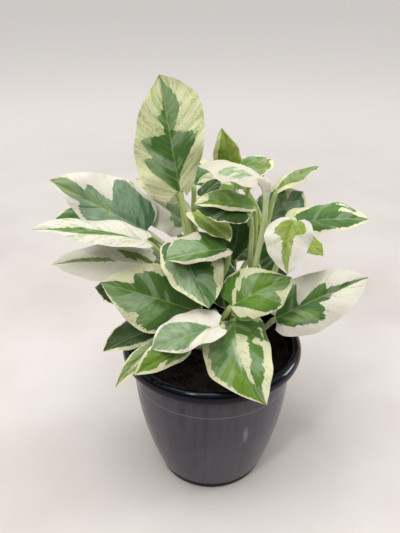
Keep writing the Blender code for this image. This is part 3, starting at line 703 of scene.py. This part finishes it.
def stalk_rings(leaf, route, sheath):
    """Rings round the leaf stalk: flared and clasping at the stem, a knee at the blade.

    A sheath makes the stalk broad on its upper side for that many mm below the blade.
    """
    a, b, c, d = stalk_line(leaf, route)
    a = a - unit(b - a) * (SEAT_GAP + STALK_INTO_STEM)
    side = leaf_axes(leaf)[3]
    upper = RING_ANGLES - math.pi / 2
    length = sum(np.linalg.norm(q - p) for p, q in ((a, b), (b, c), (c, d)))
    rings = []
    for t in np.linspace(1, 0, STALK_RINGS):
        s = 1 - t
        centre = a * s ** 3 + b * 3 * t * s * s + c * 3 * t * t * s + d * t ** 3
        way = unit((b - a) * s * s + (c - b) * 2 * t * s + (d - c) * t * t)
        side = unit(side - way * side.dot(way))
        radius = STALK_RADIUS_STEM + (blade_end_radius(leaf) - STALK_RADIUS_STEM) * t
        knee = STALK_KNEE * math.exp(-((s * length - 5) / 3.0) ** 2)
        flare = STALK_FLARE * math.exp(-t * length / 2.6)
        channel = STALK_CHANNEL * math.exp(-((s - 0.5) / 0.4) ** 2) * np.exp(-(upper / 0.5) ** 2)
        radii = radius * (1 + knee + flare - channel)
        if sheath:
            here = math.exp(-((s * length / sheath - SHEATH_MIDDLE) / SHEATH_SPREAD) ** 2)
            radii = radii + SHEATH_WIDTH * here * np.exp(-(upper / 0.6) ** 2)
        rings.append(ring_round(centre, RING_ANGLES, radii, side, np.cross(side, way)))
    return np.array(rings[::-1]), a, length


def make_leaf(number, key, leaf, route, paint, material):
    """A leaf with its stalk, and what the material needs to know at every point of them."""
    calm = CALM if key in CALM_LEAVES else 1
    lift = CALM_LEAVES.get(key, 0)
    blade, tip, facts = blade_rings(leaf, np.random.default_rng(number), calm, lift)
    stalk, foot, stalk_length = stalk_rings(leaf, route, paint.sheath)
    points, faces = loft([*stalk, *blade], foot, tip)
    name = "leaf_" + key
    piece = add_piece(name + "_blade", points, faces, material, name)
    piece.data.set_sharp_from_angle(angle=LEAF_SHARP)
    down = np.linspace(-stalk_length, -0.5, STALK_RINGS)

    def spread(on_stalk, on_blade, at_foot, at_tip):
        """A value for each point, in the loft's order."""
        return np.concatenate([np.broadcast_to(on_stalk, (STALK_RINGS, len(RING_ANGLES))).ravel(),
                               on_blade.ravel(), [at_foot], [at_tip]])

    vein, part, u = facts["vein"], facts["part"], facts["u"]
    depth = green_depth(paint, vein, part)
    tone = green_tone(paint, vein, part, u)
    size = leaf_axes(leaf)[0]
    dryness = np.clip((u - 1) / max(paint.dry, 0.01) + 1, 0, 1) * (paint.dry > 0)
    below_sheath = np.clip((paint.sheath + down[:, None]) / SHEATH_FADE, 0, 1) - 1
    columns = {
        "vein": (spread(down[:, None], vein * size, down[0], size),
                 spread(np.cos(RING_ANGLES) * 2, facts["out"], 0, 0),
                 np.full(len(points), number)),
        "paint": (spread(-1.0, depth, -1, depth[-1].mean()),
                  spread(below_sheath, np.abs(part), -1, 0.9),
                  spread(0.0, facts["under"], 0, 0)),
        "habit": (np.full(len(points), paint.speckle),
                  spread(0.0, tone, 0, paint.pale),
                  spread(0.0, dryness, 0, paint.dry > 0)),
    }
    for label, values in columns.items():
        layer = piece.data.attributes.new(label, "FLOAT_VECTOR", "POINT")
        layer.data.foreach_set("vector", np.column_stack(values).astype(np.float32).ravel())
    plain = np.array([srgb(*GREENS[paint.green])])
    greens = green_colours(paint, vein, part).reshape(-1, 4)
    on_stalk = np.repeat(plain, STALK_RINGS * len(RING_ANGLES), axis=0)
    greens = np.concatenate([on_stalk, greens, plain, greens[-1:]])
    creams = np.tile(srgb(*CREAMS[paint.cream]), (len(points), 1))
    for label, colours in (("green", greens), ("cream", creams)):
        layer = piece.data.color_attributes.new(label, "FLOAT_COLOR", "POINT")
        layer.data.foreach_set("color", colours.astype(np.float32).ravel())


# --- how each leaf is painted
# The palest grey green is only a painted sheen; mist and frost are partly real grey green and partly
# painted sheen.
GREENS = dict(
    bright=(96, 136, 32), mid=(76, 118, 40), deep=(58, 98, 36), blue=(56, 96, 58), olive=(108, 130, 46),
    shade=(38, 72, 24), lime=(146, 164, 62), sage=(112, 142, 96), leafy=(102, 138, 34),
    painted_sheen=(178, 192, 160), mist=(112, 142, 90), teal=(64, 106, 76), frost=(158, 178, 136),
)
CREAMS = dict(
    white=(213, 208, 197), cream=(210, 208, 172), yellow=(204, 206, 150), dusky=(202, 194, 176),
    ivory=(198, 192, 178), lichen=(206, 206, 164),
)

# green, cream: names of its two colours.  plus, minus: how far out from the midrib the
# green reaches on each half, as (place along the midrib, part of the way to the margin);
# minus is like plus where it is left out.  add, take: patches of green or cream as
# (from, to) along and (from, to) outwards, where outwards is signed.  tones: such patches
# with how much lighter and greyer, or below 0 darker, the green is there; the darker ones
# near the stalk are partly dark green and partly painted shade, and the lighter grey ones
# are partly grey green and partly painted sheen.  tints: such patches with the green they
# are drawn in; the grey greens among them partly paint sheen.  All these numbers are
# hundredths of the leaf's length, of the half blade and of full strength.
# speckle: green flecks on the cream.  pale: share of grey green.  dry: share of the leaf
# that is dried at its point.  sheath: mm of broad pale sheath on the stalk below the blade.
Paint = namedtuple("Paint", "green cream plus minus add take tones tints speckle pale dry sheath",
                   defaults=("mid", "cream", (), (), (), (), (), (), 0.3, 0.3, 0.0, 0.0))
PAINTS = dict(
    top=Paint("deep", "lichen",
        ((-25, 4), (5, 6), (12, 15), (20, 52), (30, 74), (36, 55), (42, 36), (48, 14), (53, 14), (58, 46),
         (66, 55), (74, 50), (82, 50), (97, 30)),
        ((-25, 10), (-12, 30), (0, 35), (5, 74), (15, 80), (19, 50), (22, 52), (25, 76), (30, 83),
         (35, 62), (40, 42), (46, 14), (52, 10), (57, 36), (63, 18), (72, 8), (95, 3)),
        speckle=0.7, pale=0.5, tones=((-10, 30, 20, 80, -40), (30, 50, -60, 0, -40)),
        # The mist and frost patches on the lower lobes are partly painted sheen.
        tints=((-20, 29, -100, -25, "mist"), (28, 45, -100, -50, "frost"), (50, 100, -100, 100, "mid"))),
    top_behind=Paint("lime", "cream", ((-25, 40), (-5, 20), (5, -10), (95, -20)), speckle=0.6),
    upper_left=Paint("teal", "white",
        ((-25, 80), (-10, 92), (5, 86), (20, 95), (28, 93), (31, 45), (36, 30), (42, 36), (50, 55),
         (56, 52), (60, 32), (64, 60), (68, 92)),
        ((-25, 80), (30, 88), (42, 80), (50, 68), (55, 42), (60, 46), (65, 80), (95, 85)),
        pale=0.7, dry=0.02, tones=((10, 40, -20, 60, 60),),
        tints=((30, 62, -20, 50, "mist"), (64, 110, -110, 110, "olive"))),
    left_inner=Paint("sage", "white",
        ((-25, 60), (45, 55), (50, 0), (95, -10)),
        ((-25, 60), (0, 50), (25, 30), (35, 0), (95, -20)),
        pale=0.9),
    left=Paint("mid", "white",
        ((-25, -12), (30, -10), (42, 2), (50, 12), (62, 16), (70, 12), (95, 20)),
        ((-25, -10), (10, 0), (25, 26), (35, 50), (60, 60)),
        speckle=0.55, dry=0.03),
    left_low=Paint("olive", "white",
        ((-25, -20), (30, -10), (40, 10), (60, 14), (95, 30)),
        speckle=0.15, dry=0.03, add=((-20, 22, 15, 50),)),
    lower_left=Paint("deep", "cream",
        ((20, 85), (26, 66), (30, 70), (38, 80), (52, 76), (57, 55), (60, 34), (68, 40), (75, 60),
         (95, 70)),
        ((-25, 90), (30, 92), (36, 88), (39, 66), (43, 68), (48, 84), (58, 88), (70, 88), (95, 90)),
        pale=0.35, tones=((-30, 30, -110, 110, -60),),
        tints=((25, 95, -100, -15, "mist"), (62, 110, -30, 110, "mid"))),
    centre=Paint("blue", "cream",
        ((-25, 90), (10, 88), (30, 80), (50, 84), (70, 80), (95, 60)),
        ((-25, 50), (20, 60), (50, 64), (54, 78), (60, 80), (66, 95), (95, 110)),
        tones=((-30, 50, -100, 0, -70), (10, 80, 50, 95, 50)),
        tints=((0, 90, 15, 100, "mist"), (-30, 100, -100, -10, "deep"))),
    # Drawn in the darkest green and darkened further by pale below 0: painted shade on a leaf lying behind
    # the others.
    low_left=Paint("shade", "cream",
        ((-25, 95), (95, 92)),
        ((-25, 80), (30, 76), (70, 66), (95, 50)),
        pale=-0.8),
    over_rim_left=Paint("leafy", "cream",
        ((-25, 90), (30, 88), (60, 75), (80, 50), (95, 10)),
        ((-25, 75), (30, 72), (60, 66), (80, 40), (95, 10)),
        pale=0.0, take=((28, 42, -110, -40),), tones=((-20, 40, -40, 80, -70),)),
    over_rim_back=Paint("olive", "lichen",
        ((-25, 90), (70, 82), (95, 50)),
        ((-25, 90), (50, 80), (80, 50), (95, 20)),
        pale=0.5, take=((-20, 90, -34, -24),)),
    front_left=Paint("sage", "white",
        ((-25, -10), (0, 0), (10, 10), (20, 25), (30, 45), (40, 68), (48, 88), (95, 85)),
        ((-25, -20), (20, -10), (25, 10), (29, 85), (90, 88)),
        pale=0.5),
    centre_small=Paint("mid", "dusky",
        ((10, 95), (15, 80), (20, 55), (30, 48), (36, 62), (42, 85), (50, 95)),
        ((-25, 30), (0, 50), (20, 68), (50, 76), (95, 70)),
        tones=((-30, 30, -110, 110, -90),), tints=((30, 100, -30, 110, "mist"),)),
    centre_upper=Paint("lime", "cream",
        ((-25, 30), (0, 60), (15, 95), (70, 95), (85, 30), (95, -10)),
        pale=0.1, tints=((0, 80, 20, 110, "olive"),)),
    bright=Paint("leafy", "cream",
        ((50, 95), (62, 50), (70, 30), (95, 20)),
        ((-25, 70), (50, 60), (95, 20)),
        tones=((0, 30, -40, 50, -50),), tints=((45, 75, -20, 110, "bright"),)),
    small_upright=Paint("lime", "yellow",
        ((95, 92),),
        ((-25, 60), (20, 75), (50, 70), (95, 60)),
        speckle=0.5, pale=0.0, tints=((-30, 50, -100, 10, "leafy"),)),
    white=Paint("frost", "ivory",
        ((95, -30),),
        speckle=0.35, sheath=27.0, add=((0, 34, -80, -20),),
        take=((10, 16, -90, -50), (20, 25, -50, -10))),
    upper_right_small=Paint("olive", "cream",
        ((-25, 90), (30, 85), (50, 60), (95, 20)),
        ((-25, 95), (95, 90))),
    upper_back=Paint("mid", "lichen",
        ((30, 90), (60, 80), (95, 60)),
        ((-25, 95), (95, 90)),
        tints=((10, 70, 10, 110, "olive"),)),
    blue=Paint("teal", "cream",
        ((-25, 90), (30, 85), (50, 90), (65, 85), (80, 50), (95, 10)),
        ((-25, 90), (50, 95), (56, 90), (58, 20), (64, 15), (68, 80), (85, 70), (95, 20)),
        tones=((10, 70, -60, 60, 70),), tints=((10, 60, -70, 10, "mist"),)),
    right_narrow=Paint("olive", "lichen",
        ((-25, 10), (0, 30), (10, 90), (95, 95)),
        ((-25, 10), (10, 30), (30, 50), (55, 80), (95, 85)),
        speckle=0.6),
    right_upper=Paint("deep", "cream",
        ((-25, 90), (0, 88), (60, 84), (95, 60)),
        ((-25, 50), (-5, 55), (5, 60), (12, 85), (20, 105), (58, 105), (64, 90), (68, 50), (76, 25),
         (95, 30)),
        take=((50, 74, -66, -42), (40, 56, -92, -80)), tints=((10, 60, -110, -30, "mid"),)),
    right_hanging=Paint("lime", "white",
        ((-25, 50), (-10, 65), (5, 72), (15, 60), (25, 38), (33, 28), (70, 40), (95, 60)),
        ((-25, 50), (-10, 60), (2, 66), (12, 50), (20, 25), (30, 20), (70, 30), (95, 50))),
    right_centre=Paint("mid", "cream",
        ((-25, 100), (-16, 98), (-10, 5), (0, 10), (10, 35), (16, 60), (21, 90), (40, 97), (50, 90),
         (55, 80), (58.5, 40), (61, 50), (66, 80)),
        ((-25, 97), (10, 90), (20, 62), (30, 66), (40, 76), (60, 86), (95, 85)),
        add=((-30, 0, 82, 120),), take=((0, 9, -45, 0), (6, 17, -75, -35), (12, 24, -110, -62)),
        tones=((-30, 5, 0, 110, 50),), tints=((15, 95, -70, 80, "bright"),)),
    front=Paint("mid", "cream",
        ((-25, 70), (-5, 74), (10, 84), (30, 90), (60, 90), (95, 80)),
        ((-25, 70), (0, 80), (14, 78), (20, 70), (30, 76), (42, 68), (52, 74), (60, 60), (75, 50)),
        add=((-15, 12, -115, -86),), take=((16, 50, -30, 0), (40, 74, -18, 2), (12, 22, -70, -50)),
        tones=((10, 34, 30, 80, -50), (0, 90, -60, -20, 30)),
        # The pale grey patch along the midrib is a painted sheen, and the mist patch at the stalk end is a
        # painted reflection.
        tints=((30, 100, 20, 110, "leafy"), (-30, 25, 45, 110, "mist"), (16, 56, -10, 20, "painted_sheen"))),
    right=Paint("deep", "white",
        ((-25, 50), (-5, 58), (10, 72), (24, 78), (30, 52), (36, 45), (40, 10), (46, 25), (52, 20),
         (57, 4), (95, 10)),
        ((-25, 10), (-10, 30), (0, 60), (4, 80), (12, 82), (17, 55), (20, 12), (28, 10), (33, 30),
         (40, 46), (46, 46), (50, 25), (60, 22), (80, 30), (95, 50)),
        tones=((-30, -2, -100, 100, -50),),
        tints=((-5, 30, 15, 60, "leafy"), (-10, 16, -100, -40, "mist"), (30, 50, -60, 0, "mid"))),
)

# The leaves that are green nearly to the margin.  Those drawn in the darkest green, shade,
# lie deep inside the plant or behind other leaves, and are darkened there as painted shade.
PLAIN_GREEN = dict(
    bright_below="shade", small_dark="shade", lower_left_behind="shade", inner_dark="shade",
    inner_right="shade", inner_centre="shade", left_back="deep", right_inner="lime",
)
PATCH_SLOPE = 3.0          # how fast a patch deepens along the midrib
TONE_SLOPE = 2.0           # and a tone
TONE_EDGE = 0.12           # how softly a tone ends
LOBE_ROUNDING = (-0.024, -0.012, 0.0, 0.012, 0.024)


def plain_paint(green):
    """Green nearly to the margin, with a thin pale edge."""
    return Paint(green, plus=((-25, 95), (60, 95), (95, 85)), speckle=0.1, pale=0.15)


def wild_paint(number):
    """A pattern for a leaf that has none of its own: lobes of green along the midrib."""
    rng = random.Random(number)

    def lobes():
        knots = []
        place = -25
        while place < 100:
            reach = rng.choice((12, 35, 55, 80, 95, 105))
            wide = rng.uniform(10, 22)
            knots += [(place, reach), (place + wide, reach)]
            place += wide + 3
        return tuple(knots)

    return Paint(green=rng.choice(("mid", "deep", "blue", "shade", "bright")),
                 cream=rng.choice(("white", "cream", "yellow")), plus=lobes(), minus=lobes(),
                 speckle=rng.uniform(0.1, 0.7), pale=rng.uniform(0.1, 0.6))


def inside(box, vein, part, slope):
    """How far inside a patch a spot is, along and outwards; below 0 it is outside."""
    start, end, inner, outer = np.array(box) / 100
    return np.minimum(np.minimum(vein - start, end - vein) * slope,
                      np.minimum(part - inner, outer - part))


def green_depth(paint, vein, part):
    """How far inside the green a spot is, in parts of the half blade; below 0 it is cream."""
    plus, minus = (np.array(knots).T / 100 for knots in (paint.plus, paint.minus or paint.plus))
    nearby = [np.where(part > 0, np.interp(vein + step, *plus), np.interp(vein + step, *minus))
              for step in LOBE_ROUNDING]
    depth = sum(nearby) / len(nearby) - np.abs(part)
    for box in paint.add:
        depth = np.maximum(depth, inside(box, vein, part, PATCH_SLOPE))
    for box in paint.take:
        depth = np.minimum(depth, -inside(box, vein, part, PATCH_SLOPE))
    return depth


def soft_patch(box, vein, part):
    """1 inside a patch and 0 outside it, with a soft edge."""
    return np.clip(inside(box, vein, part, TONE_SLOPE) / TONE_EDGE, 0, 1)


def green_tone(paint, vein, part, u):
    """How much lighter and greyer, or below 0 darker, the green of a spot is: darker near the stalk, partly
    as painted shade, and with tones that partly paint shade and sheen.
    """
    tone = paint.pale * (0.4 + 1.2 * u.clip(0, 1))
    for *box, strength in paint.tones:
        tone = tone + strength / 100 * soft_patch(box, vein, part)
    return tone


def green_colours(paint, vein, part):
    """The green drawn at each spot of the blade."""
    colours = np.broadcast_to(srgb(*GREENS[paint.green]), (*vein.shape, 4))
    for *box, green in paint.tints:
        share = soft_patch(box, vein, part)[..., None]
        colours = colours * (1 - share) + np.array(srgb(*GREENS[green])) * share
    return colours


# --- stems
STEM_RINGS = 90
STEM_SIDES = 20
STEM_SWELL = 0.5           # mm, how much thicker a joint is
STEM_SCAR = 0.16           # mm, how deep the ring under it is


def make_stem(key, route, at_heights, material):
    """A round stem with a swollen joint at every leaf and ring scars under it."""
    line = np.vstack([route[0], smooth_curve(route[1:], STEM_RINGS)])
    joints = np.array([stem_place(route, at)[0] for at in at_heights])
    angles = even_angles(STEM_SIDES)
    side = np.array((1.0, 0.0, 0.0))
    rings = []
    for i, centre in enumerate(line):
        way = unit(line[min(i + 1, len(line) - 1)] - line[max(i - 1, 0)])
        side = unit(side - way * side.dot(way))
        near = np.linalg.norm(joints - centre, axis=1)
        swell = STEM_SWELL * np.exp(-(near / 2.4) ** 2).sum()
        swell -= STEM_SCAR * np.exp(-((near - 4.4) / 0.7) ** 2).sum()
        left = len(line) - 1 - i
        radius = (STEM_RADIUS - STEM_SWELL / 2 + min(swell, STEM_SWELL)) * (1 - 0.5 * math.exp(-left / 0.8))
        radii = radius * (1 + 0.03 * np.cos(5 * angles + centre[2] * 0.05))
        rings.append(ring_round(centre, angles, radii, side, np.cross(way, side)))
    top = line[-1] + unit(line[-1] - line[-2]) * 0.3
    points, faces = loft(rings, line[0], top)
    faces = [face[::-1] for face in faces]
    name = "stem_" + key
    add_piece(name + "_stem", points, faces, material, name)


# --- pot and mix
POT_STEPS = 144            # round the pot
POT_SHARP = math.radians(38)
RING_HEIGHT = 0.45         # how far the moulded ring stands out
RING_HALF_WIDTH = 0.5


def make_pot(material):
    """The pot's shell: the CAD profile with a rounder lip and corners, and a moulded ring."""
    floor = FOOT_RECESS + FLOOR_THICKNESS
    body = smooth_curve(POT_BODY[:-2], 60)
    inner = [(r, floor) for r in (0.0, 10.0, 24.0, BASE_RADIUS - WALL - FLOOR_CORNER)]
    inner += [(r - WALL, z) for r, z in body[::-1]]
    lip = [(RIM_RADIUS - inset, POT_HEIGHT - LIP_DEPTH + rise)
           for inset, rise in smooth_curve(LIP, 56)]
    outer = [(r + RING_HEIGHT * math.exp(-((z - MOULD_RING) / RING_HALF_WIDTH) ** 2), z)
             for r, z in body]
    recess = BASE_RADIUS - FOOT_RING - FOOT_DRAFT
    foot = [
        (41.0, 5.6), (BASE_RADIUS + 0.5, 4.4), (BASE_RADIUS, 3.9), (BASE_RADIUS, 1.0),
        (BASE_RADIUS - 0.3, 0.3), (BASE_RADIUS - 0.9, 0.0), (BASE_RADIUS - FOOT_RING, 0.0),
        (recess, FOOT_RECESS), (30.0, FOOT_RECESS), (22.0, FOOT_RECESS),
        (FOOT_PAD_RADIUS + FOOT_DRAFT, FOOT_RECESS), (FOOT_PAD_RADIUS, 0.0), (4.0, 0.0), (0.0, 0.0),
    ]
    profile = inner + lip + outer + foot
    angles = even_angles(POT_STEPS)
    rings = [level_ring(angles, r, z) for r, z in profile[1:-1]]
    points, faces = loft(rings, (0, 0, profile[0][1]), (0, 0, profile[-1][1]))
    pot = add_piece("pot_shell", points, faces, material, "pot")
    drill_drains(pot)
    pot.data.set_sharp_from_angle(angle=POT_SHARP)


def drill_drains(pot):
    """Cuts the ring of drain holes through the pot's floor."""
    shape = bmesh.new()
    for hole in range(DRAIN_HOLES):
        turn = 2 * math.pi * (hole + 0.5) / DRAIN_HOLES
        place = Vector((DRAIN_CIRCLE * math.cos(turn), DRAIN_CIRCLE * math.sin(turn), 3.0)) * MM
        drill = bmesh.ops.create_cone(shape, cap_ends=True, segments=28, depth=0.012,
                                      radius1=DRAIN_RADIUS * MM, radius2=DRAIN_RADIUS * MM)
        bmesh.ops.translate(shape, verts=drill["verts"], vec=place)
    drills = add_object("drills", mesh_of("drills", shape))
    cut = pot.modifiers.new("drains", "BOOLEAN")
    cut.operation = "DIFFERENCE"
    cut.solver = "EXACT"
    cut.object = drills
    bpy.context.view_layer.update()
    drilled = bpy.data.meshes.new_from_object(pot.evaluated_get(bpy.context.evaluated_depsgraph_get()))
    pot.modifiers.remove(cut)
    pot.data = drilled
    bpy.data.objects.remove(drills, do_unlink=True)


CRUMBS = 900
CRUMB_LEAST = 0.45
CRUMB_SPREAD = 1.5         # how much larger the largest ones are
SOIL_STEPS = 150           # round the mix
SOIL_RINGS = 48            # from its middle to its edge
CROWN_RADIUS = 46.0
SOIL_LOOSE = 6.0           # how deep its bumpy top goes


def soil_height(x, y):
    """The surface of the mix: a low crown, soft hollows and small grit."""
    crown = SOIL_CROWN * max(0.0, 1 - (math.hypot(x, y) / CROWN_RADIUS) ** 2)
    place = Vector((x, y, 3.0))
    soft = noise.noise(place / 14) * 1.3 + noise.noise(place / 5) * 0.8 + noise.noise(place / 1.9) * 0.5
    return SOIL_TOP - 0.7 + crown + soft


def make_soil(material):
    """The plug of mix: a bumpy top with crumbs lying on it, in one mesh."""
    wall = WALL + SOIL_GAP
    radii, heights = np.array(POT_BODY[:-2])[::-1].T
    edge = float(np.interp(SOIL_TOP, heights, radii)) - wall
    angles = even_angles(SOIL_STEPS)
    floor = FOOT_RECESS + FLOOR_THICKNESS + SOIL_GAP
    rings = []
    for r in np.linspace(1.2, edge, SOIL_RINGS):
        ring = level_ring(angles, r, 0.0)
        ring[:, 2] = [soil_height(x, y) for x, y, _ in ring]
        rings.append(ring)
    rings += [level_ring(angles, r - wall, z) for z, r in sorted(zip(heights, radii), reverse=True)
              if z < SOIL_TOP - SOIL_LOOSE]
    rings.append(level_ring(angles, BASE_RADIUS - wall - FLOOR_CORNER - SOIL_GAP, floor))
    points, faces = loft(np.array(rings), (0, 0, soil_height(0, 0)), (0, 0, floor))

    lump = bmesh.new()
    bmesh.ops.create_icosphere(lump, subdivisions=1, radius=1.0)
    ball = np.array([v.co for v in lump.verts])
    ball_faces = [tuple(v.index for v in f.verts) for f in lump.faces]
    lump.free()
    rng = np.random.default_rng(7)
    parts = [points]
    total = len(points)
    for _ in range(CRUMBS):
        size = CRUMB_LEAST + CRUMB_SPREAD * rng.random() ** 2.2
        r = (edge - size) * math.sqrt(rng.random())
        a = rng.uniform(0, 2 * math.pi)
        x, y = r * math.cos(a), r * math.sin(a)
        stretch = rng.uniform(0.55, 1.3, 3) * size
        shape = ball * (1 + rng.uniform(-0.28, 0.28, (len(ball), 1))) * stretch
        turn = rng.uniform(0, math.pi)
        c, s = math.cos(turn), math.sin(turn)
        shape = shape @ np.array(((c, -s, 0), (s, c, 0), (0, 0, 1)))
        parts.append(shape + (x, y, soil_height(x, y) + 0.25 * size))
        faces += [tuple(total + k for k in face) for face in ball_faces]
        total += len(ball)
    add_piece("soil_mix", np.vstack(parts), faces, material, "soil")


# --- floor, light, camera
FLOOR_RADIUS = 60.0        # m, wide enough that the floor fills the view
FLOOR_BELOW = 0.0002       # m, how far it lies below the pot's foot
FLOOR_PALER = (0.3, 1.3)   # m from the plant, between which it gets paler


def make_floor():
    """A plain pale floor."""
    s = Shader("floor_pale")
    place = s.place()
    x, y, _ = s.parts(place)
    away = s.math("SQRT", s.add(s.square(x), s.square(y)))
    cloud = s.noise(place, 6.0, 4.0, 0.55)
    near = s.layers(srgb(196, 188, 183), (s.ease(cloud, 0.35, 0.65), 1.0, (208, 201, 196)))
    colour = s.mix(s.step(away, *FLOOR_PALER), near, srgb(228, 224, 221))
    s.bump(s.noise(place, 160.0, 3.0), 0.0004, 0.15)
    shape = bmesh.new()
    bmesh.ops.create_circle(shape, cap_ends=True, segments=96, radius=FLOOR_RADIUS)
    floor = add_object("floor", mesh_of("floor", shape))
    floor.data.materials.append(s.finish(colour, 0.8, Specular_IOR_Level=0.0))
    floor.location.z = -FLOOR_BELOW


def add_light(name, place, target, size, power, colour=(1, 1, 1), spread=180):
    lamp = bpy.data.lights.new(name, "AREA")
    lamp.shape = "SQUARE"
    lamp.size = size
    lamp.energy = power
    lamp.color = colour
    lamp.spread = math.radians(spread)
    light = add_object(name, lamp)
    light.location = place
    light.visible_camera = False
    light.rotation_euler = (Vector(target) - Vector(place)).to_track_quat("-Z", "Y").to_euler()


def light_scene():
    """A sky that is bright above and behind and dark in front, and three lamps.

    A broad lamp hangs above, a small one in front on the left gives the highlights, and
    a bluish one on the right lights the rim. The camera sees a plain pale backdrop in
    place of the sky.
    """
    world = bpy.data.worlds.new("studio")
    world.use_nodes = True
    bpy.context.scene.world = world
    s = Nodes(world.node_tree)
    _, y, z = s.parts(s.place("Generated"))
    height = s.math("MULTIPLY_ADD", y, 0.45, z)
    sky = s.mix(s.ease(height, 0.0, 0.75), (0.14, 0.14, 0.155, 1), (0.96, 0.95, 0.94, 1))
    s.put(s.tree.nodes["Background"].inputs["Color"], sky)
    shown = s.new("MixShader", {
        0: s.new("LightPath", {}, "Is Camera Ray"),
        1: s.tree.nodes["Background"].outputs[0],
        2: s.new("Background", {"Color": srgb(203, 199, 196)}),
    })
    s.put(s.tree.nodes["World Output"].inputs["Surface"], shown)
    add_light("ceiling", (-0.15, -0.15, 1.5), (0, 0, 0.15), 1.1, 14.5)
    add_light("window", (-0.36, -0.75, 0.95), (0, 0, 0.1), 0.09, 2.9)
    add_light("doorway", (1.2, 0.27, 0.45), (0, 0, 0.16), 0.45, 0.7, (0.86, 0.93, 1), 50)


LOOKS_DOWN = 28.0          # degrees
ROLL = 1.37                # degrees


def add_camera():
    """Where the photographer stood: close in front of the plant, looking down at it."""
    lens = bpy.data.cameras.new("camera")
    lens.lens = 40.5
    lens.clip_start = 0.01
    camera = add_object("camera", lens)
    camera.location = (0.0, -0.362, 0.361)
    camera.rotation_euler = (math.radians(90 - LOOKS_DOWN), 0.0, math.radians(ROLL))
    bpy.context.scene.camera = camera


# --- all together
def main():
    bpy.context.scene.view_settings.view_transform = "Standard"
    add_camera()
    light_scene()
    make_floor()
    make_pot(pot_material())
    make_soil(soil_material())
    routes = {key: stem_route(points) for key, points in STEMS.items()}
    stem_skin = stem_material()
    for key, route in routes.items():
        heights = [leaf.at for leaf in LEAVES.values() if leaf.stem == key]
        make_stem(key, route, heights, stem_skin)
    leaf_skin = leaf_material()
    for number, (key, leaf) in enumerate(LEAVES.items()):
        if key in PLAIN_GREEN:
            paint = plain_paint(PLAIN_GREEN[key])
        else:
            paint = PAINTS.get(key) or wild_paint(number)
        make_leaf(number, key, leaf, routes[leaf.stem], paint, leaf_skin)


main()
